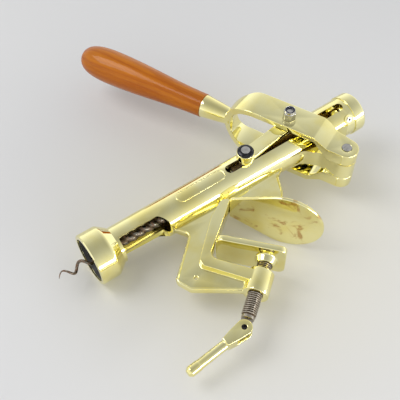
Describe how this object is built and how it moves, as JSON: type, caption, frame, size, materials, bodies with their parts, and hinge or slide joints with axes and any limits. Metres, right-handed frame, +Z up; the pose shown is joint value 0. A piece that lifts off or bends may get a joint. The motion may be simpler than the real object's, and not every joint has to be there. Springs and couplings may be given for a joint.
{
  "type": "clamp-on lever corkscrew",
  "caption": "Bar corkscrew with a bell-mouthed barrel, forked swing lever with turned wood grip, slider-crank links, driven worm and screw table clamp.",
  "frame": {"origin": "centre of the bell's mouth, on the barrel's axis", "axes": "+X along the barrel from the bell's mouth to the cap, +Y towards the side where the lever's handle stands at rest, +Z up, square to the plane in which the lever, links and clamp lie; the object lies on its side"},
  "size_m": [0.3131, 0.3443, 0.081],
  "materials": {
    "polished_brass": "polished lacquered brass plate, mirror gloss",
    "liner_black": "matt black moulded",
    "varnished_wood": "orange-brown stained wood under clear varnish",
    "nickel_steel": "nickel-plated machined steel",
    "black_nylon": "black moulded nylon",
    "worm_steel": "dark hardened steel with surface rust"
  },
  "bodies": {
    "frame": {"barrel": "polished_brass", "bell": "polished_brass", "bell_liner": "liner_black", "end_cap": "polished_brass", "cap_screw": "nickel_steel", "worm_nut": "polished_brass", "hinge_pin": "nickel_steel", "clamp_frame": "polished_brass", "clamp_plate": "polished_brass"},
    "lever": {"lever_yoke": "polished_brass", "wood_handle": "varnished_wood", "handle_tang": "nickel_steel", "link_bolts": "nickel_steel", "lock_nuts": "nickel_steel", "nut_inserts": "black_nylon"},
    "slider": {"carriage": "polished_brass", "cross_pin": "nickel_steel", "pin_washers": "black_nylon", "thrust_washer": "nickel_steel"},
    "links": {"upper_link": "polished_brass", "lower_link": "polished_brass"},
    "corkscrew": {"worm": "worm_steel", "worm_shank": "worm_steel"},
    "jaw": {"pressure_pad": "polished_brass"},
    "jackscrew": {"clamp_screw": "nickel_steel"},
    "tommy_lever": {"screw_lever": "polished_brass", "lever_pin": "nickel_steel"}
  },
  "joints": [
    {"name": "lever_swing", "type": "hinge", "parent": "frame", "child": "lever", "pos_m": [0.2352, -0.0431, 0], "axis": [0, 0, 1], "range_deg": [-112, 17]},
    {"name": "carriage_slide", "type": "slide", "parent": "frame", "child": "slider", "axis": [1, 0, 0], "range_m": [-0.0156, 0.1]},
    {"name": "link_swing", "type": "hinge", "parent": "slider", "child": "links", "pos_m": [0.1574, 0, 0], "axis": [0, 0, 1], "range_deg": [-40, 7]},
    {"name": "worm_spin", "type": "hinge", "parent": "slider", "child": "corkscrew", "pos_m": [0.1574, 0, 0], "axis": [1, 0, 0], "range_deg": [-350, 2260]},
    {"name": "clamp_travel", "type": "slide", "parent": "frame", "child": "jaw", "axis": [0.7948, 0.6068, 0], "range_m": [-0.00481, 0.02231]},
    {"name": "screw_turn", "type": "hinge", "parent": "jaw", "child": "jackscrew", "pos_m": [0.09909, -0.09684, 0], "axis": [0.7948, 0.6068, 0], "range_deg": [-1100, 4700]},
    {"name": "screw_lever_tilt", "type": "hinge", "parent": "jackscrew", "child": "tommy_lever", "pos_m": [0.06722, -0.12117, 0], "axis": [0, 0, 1], "range_deg": [-54, 120]}
  ],
  "couplings": [
    {"joint": "carriage_slide", "follows": "lever_swing", "m_per_rad": -0.050535},
    {"joint": "link_swing", "follows": "lever_swing", "ratio": 0.35},
    {"joint": "worm_spin", "follows": "lever_swing", "ratio": -19.845},
    {"joint": "screw_turn", "follows": "clamp_travel", "rad_per_m": 3590.4}
  ]
}
